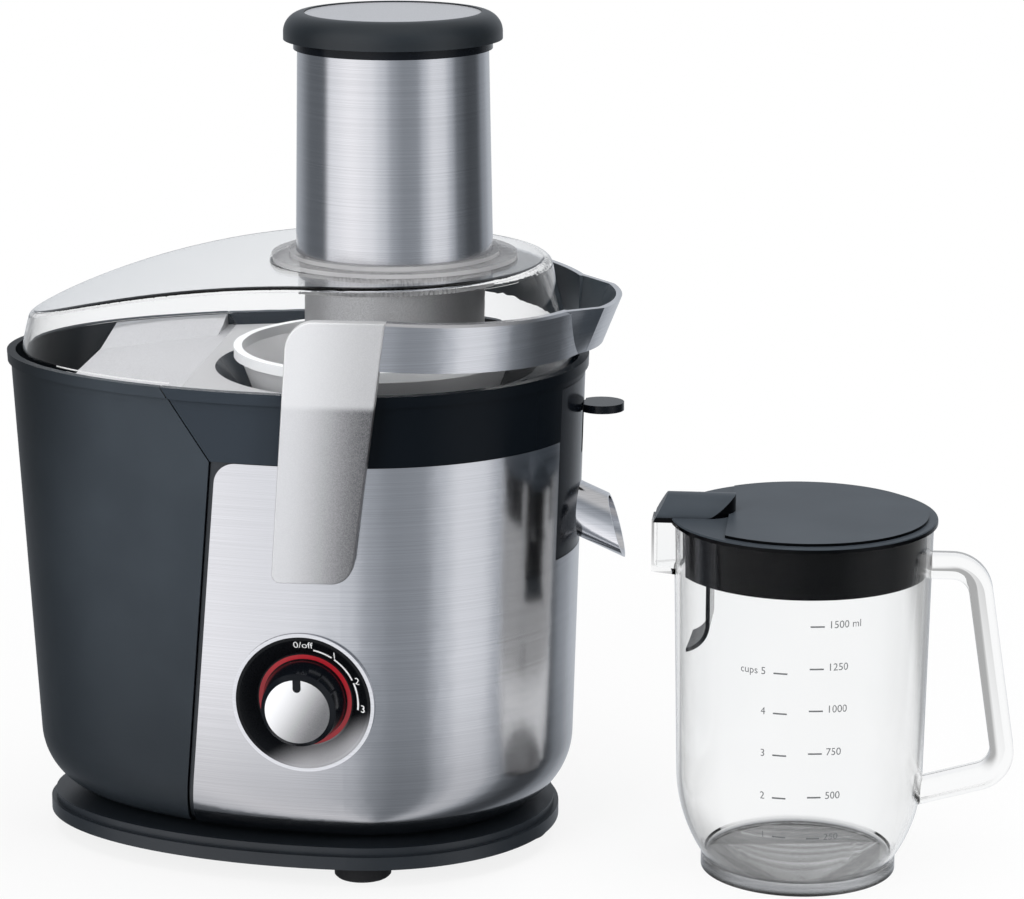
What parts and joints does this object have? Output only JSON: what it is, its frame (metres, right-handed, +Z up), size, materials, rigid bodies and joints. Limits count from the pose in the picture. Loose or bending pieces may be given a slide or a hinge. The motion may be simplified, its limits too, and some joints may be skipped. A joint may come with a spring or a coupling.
{
  "type": "centrifugal juicer",
  "caption": "Centrifugal juicer with steel feed tube, clear lid, locking bail, speed knob, pulp bin and spinning filter, beside a clear lidded juice jug.",
  "frame": {"origin": "middle of the footprint of the juicer and its jug, on the worktop", "axes": "+X from the pulp bin to the spout and jug, +Y to the back, +Z up"},
  "size_m": [0.5026, 0.2262, 0.4173],
  "materials": {
    "steel": "fine brushed",
    "dark_plastic": "satin charcoal",
    "gloss_black": "gloss black",
    "silver": "silver metallic paint",
    "clear_plastic": "clear moulded",
    "grey_plastic": "satin grey",
    "red_glow": "lit red light guide",
    "rubber": "matte",
    "machine_steel": "ground",
    "lamination": "stacked sheet",
    "bell_alloy": "die cast",
    "copper": "enamelled wire",
    "board_green": "circuit board"
  },
  "bodies": {
    "base": {"base_plate": "dark_plastic", "rubber_feet": "rubber", "base_screws": "machine_steel", "motor_housing": "dark_plastic", "front_panel": "steel", "rear_cover": "dark_plastic", "motor_deck": "dark_plastic", "shaft_seal": "rubber", "juice_bowl": "gloss_black", "pulp_tray": "silver", "spout_column": "gloss_black", "juice_spout": "steel", "dial_bezel": "gloss_black", "dial_trim_ring": "silver", "glow_ring": "red_glow", "rotary_switch": "grey_plastic", "motor_stator": "lamination", "lower_bell": "bell_alloy", "upper_bell": "bell_alloy", "lower_bearing": "machine_steel", "upper_bearing": "machine_steel", "field_coils": "copper", "carbon_brushes": "grey_plastic", "motor_mounts": "rubber", "bail_pivot_front": "machine_steel", "bail_pivot_rear": "machine_steel", "control_board": "board_green", "interlock_switch": "grey_plastic", "cord_gland": "dark_plastic"},
    "drive": {"motor_shaft": "machine_steel", "drive_coupling": "grey_plastic", "motor_rotor": "lamination", "commutator": "copper", "cooling_fan": "grey_plastic"},
    "filter": {"filter_hub": "grey_plastic", "grater_disc": "steel", "filter_sieve": "steel", "filter_rim": "steel"},
    "lid": {"lid_shell": "clear_plastic", "tube_liner": "grey_plastic", "tube_flange": "clear_plastic", "tube_sleeve": "steel", "tube_collar": "gloss_black"},
    "pusher": {"pusher_barrel": "grey_plastic", "pusher_cap": "dark_plastic", "pusher_insert": "grey_plastic"},
    "bail": {"bail_ring": "silver", "bail_arm_front": "silver", "bail_arm_rear": "silver"},
    "knob": {"knob_barrel": "gloss_black", "knob_face": "silver", "knob_pointer": "grey_plastic"},
    "drip_stop": {"drip_tab": "gloss_black", "drip_gate": "gloss_black"},
    "bin": {"pulp_bin": "dark_plastic"},
    "jug": {"jug_shell": "clear_plastic", "jug_handle": "clear_plastic"},
    "jug_lid": {"jug_lid": "dark_plastic", "jug_beak_cover": "dark_plastic", "foam_separator": "grey_plastic"}
  },
  "joints": [
    {"name": "drive_spin", "type": "hinge", "parent": "base", "child": "drive", "pos_m": [-0.06668, 0.00011, 0.0403], "axis": [0, 0, 1], "continuous": true},
    {"name": "filter_spin", "type": "hinge", "parent": "base", "child": "filter", "pos_m": [-0.06668, 0.00011, 0.19], "axis": [0, 0, 1], "continuous": true},
    {"name": "lid_lift", "type": "slide", "parent": "base", "child": "lid", "axis": [0, 0, 1], "range_m": [0, 0.12]},
    {"name": "pusher_slide", "type": "slide", "parent": "lid", "child": "pusher", "axis": [0, 0, 1], "range_m": [0, 0.17]},
    {"name": "bail_swing", "type": "hinge", "parent": "base", "child": "bail", "pos_m": [-0.08168, 0.00011, 0.176], "axis": [0, 1, 0], "range_deg": [0, 12]},
    {"name": "knob_turn", "type": "hinge", "parent": "base", "child": "knob", "pos_m": [-0.08918, -0.09801, 0.097], "axis": [0.0628, 0.9974, 0.0349], "range_deg": [0, 96]},
    {"name": "drip_stop_slide", "type": "slide", "parent": "base", "child": "drip_stop", "axis": [0, 0, -1], "range_m": [0, 0.021]},
    {"name": "bin_slide", "type": "slide", "parent": "base", "child": "bin", "axis": [-1, 0, 0], "range_m": [0, 0.17]},
    {"name": "jug_slide", "type": "slide", "parent": "base", "child": "jug", "axis": [1, 0, 0], "range_m": [0, 0.12]},
    {"name": "jug_lid_lift", "type": "slide", "parent": "jug", "child": "jug_lid", "axis": [0, 0, 1], "range_m": [0, 0.035]}
  ],
  "couplings": [
    {"joint": "filter_spin", "follows": "drive_spin", "ratio": 1}
  ]
}
